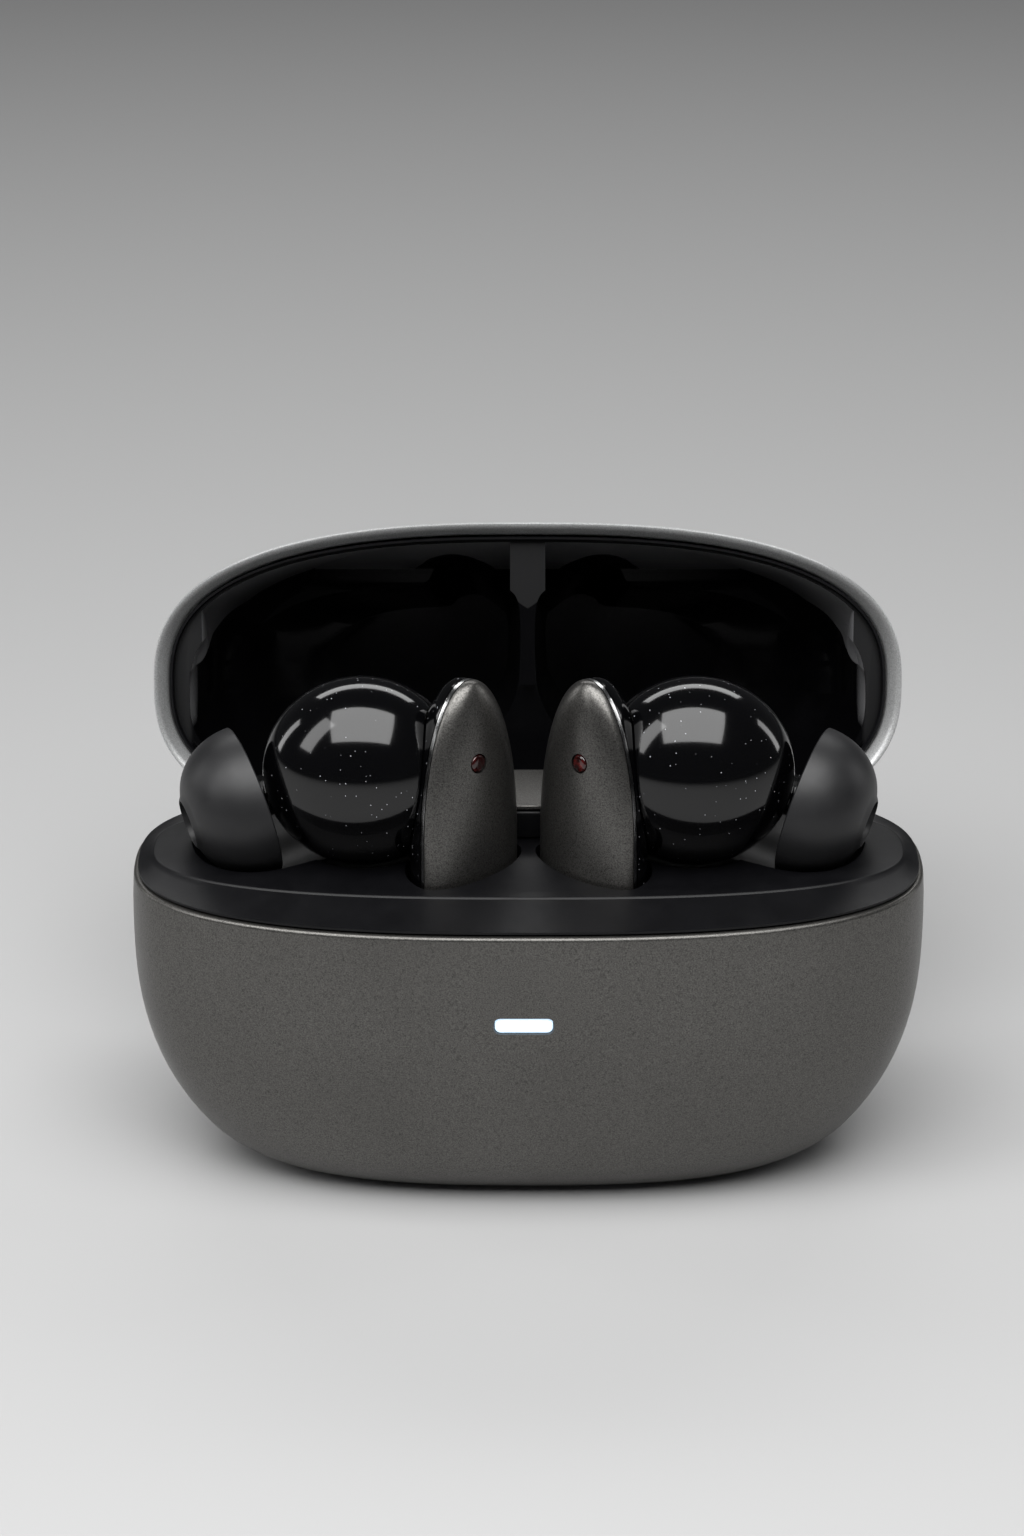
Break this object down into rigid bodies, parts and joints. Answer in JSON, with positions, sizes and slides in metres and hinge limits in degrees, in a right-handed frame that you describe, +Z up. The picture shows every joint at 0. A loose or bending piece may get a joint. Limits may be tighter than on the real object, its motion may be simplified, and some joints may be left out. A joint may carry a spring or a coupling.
{
  "type": "wireless earbuds case",
  "caption": "Open oval charging case in gun-metal grey with two black stem earbuds seated in its tray, a hinged lid, a status light and a USB-C inlet.",
  "frame": {"origin": "centre of the flat face under the case", "axes": "+X along the width, -Y out of the front with the light, +Z up"},
  "size_m": [0.0644, 0.0558, 0.0461],
  "materials": {
    "metal_paint": "fine metallic powder, satin",
    "lid_paint": "lighter metallic satin",
    "satin_black": "satin",
    "gloss_black": "high gloss",
    "silicone": "matt",
    "gunmetal": "gun-metal, fine grain",
    "chrome": "polished",
    "steel": "plain",
    "gold": "gold plated",
    "board_green": "solder mask",
    "cell_wrap": "wrapped cell",
    "lens_red": "dark red lens",
    "led_white": "frosted light pipe"
  },
  "bodies": {
    "base": {"base_shell": "metal_paint", "button_switch": "steel", "case_battery": "cell_wrap", "closing_magnet": "steel", "hinge_bracket": "steel", "hinge_cover": "satin_black", "hinge_cover_plate": "gunmetal", "hinge_pin": "steel", "hinge_spring": "steel", "led_board": "board_green", "led_light_pipe": "led_white", "left_bracket_screw": "steel", "left_pin_board": "board_green", "left_pogo_pin_1": "gold", "left_pogo_pin_2": "gold", "left_tray_magnet": "steel", "main_board": "board_green", "right_bracket_screw": "steel", "right_pin_board": "board_green", "right_pogo_pin_1": "gold", "right_pogo_pin_2": "gold", "right_tray_magnet": "steel", "tray": "satin_black", "usb_receptacle": "steel", "usb_tongue": "satin_black"},
    "lid": {"hinge_arm": "gunmetal", "lid_liner": "gloss_black", "lid_magnet": "steel", "lid_shell": "lid_paint", "lid_trim_ring": "satin_black"},
    "left_earbud": {"left_battery": "cell_wrap", "left_bulb_housing": "gloss_black", "left_charge_contact_1": "gold", "left_charge_contact_2": "gold", "left_circuit_board": "board_green", "left_ear_tip": "silicone", "left_magnet": "steel", "left_nozzle": "gloss_black", "left_sensor_window": "lens_red", "left_speaker_driver": "steel", "left_stem_cover": "gunmetal", "left_stem_housing": "gloss_black", "left_trim_ring": "chrome"},
    "right_earbud": {"right_battery": "cell_wrap", "right_bulb_housing": "gloss_black", "right_charge_contact_1": "gold", "right_charge_contact_2": "gold", "right_circuit_board": "board_green", "right_ear_tip": "silicone", "right_magnet": "steel", "right_nozzle": "gloss_black", "right_sensor_window": "lens_red", "right_speaker_driver": "steel", "right_stem_cover": "gunmetal", "right_stem_housing": "gloss_black", "right_trim_ring": "chrome"},
    "pairing_button": {"pairing_button": "satin_black"}
  },
  "joints": [
    {"name": "lid_hinge", "type": "hinge", "parent": "base", "child": "lid", "pos_m": [0, 0.012, 0.0228], "axis": [1, 0, 0], "range_deg": [0, 107.5]},
    {"name": "left_earbud_lift", "type": "slide", "parent": "base", "child": "left_earbud", "axis": [0, 0.1149, 0.9934], "range_m": [0, 0.06]},
    {"name": "right_earbud_lift", "type": "slide", "parent": "base", "child": "right_earbud", "axis": [0, 0.1149, 0.9934], "range_m": [0, 0.06]},
    {"name": "pairing_button_press", "type": "slide", "parent": "base", "child": "pairing_button", "axis": [0, -1, 0], "range_m": [0, 0.0003], "stiffness_N_per_m": 400}
  ]
}
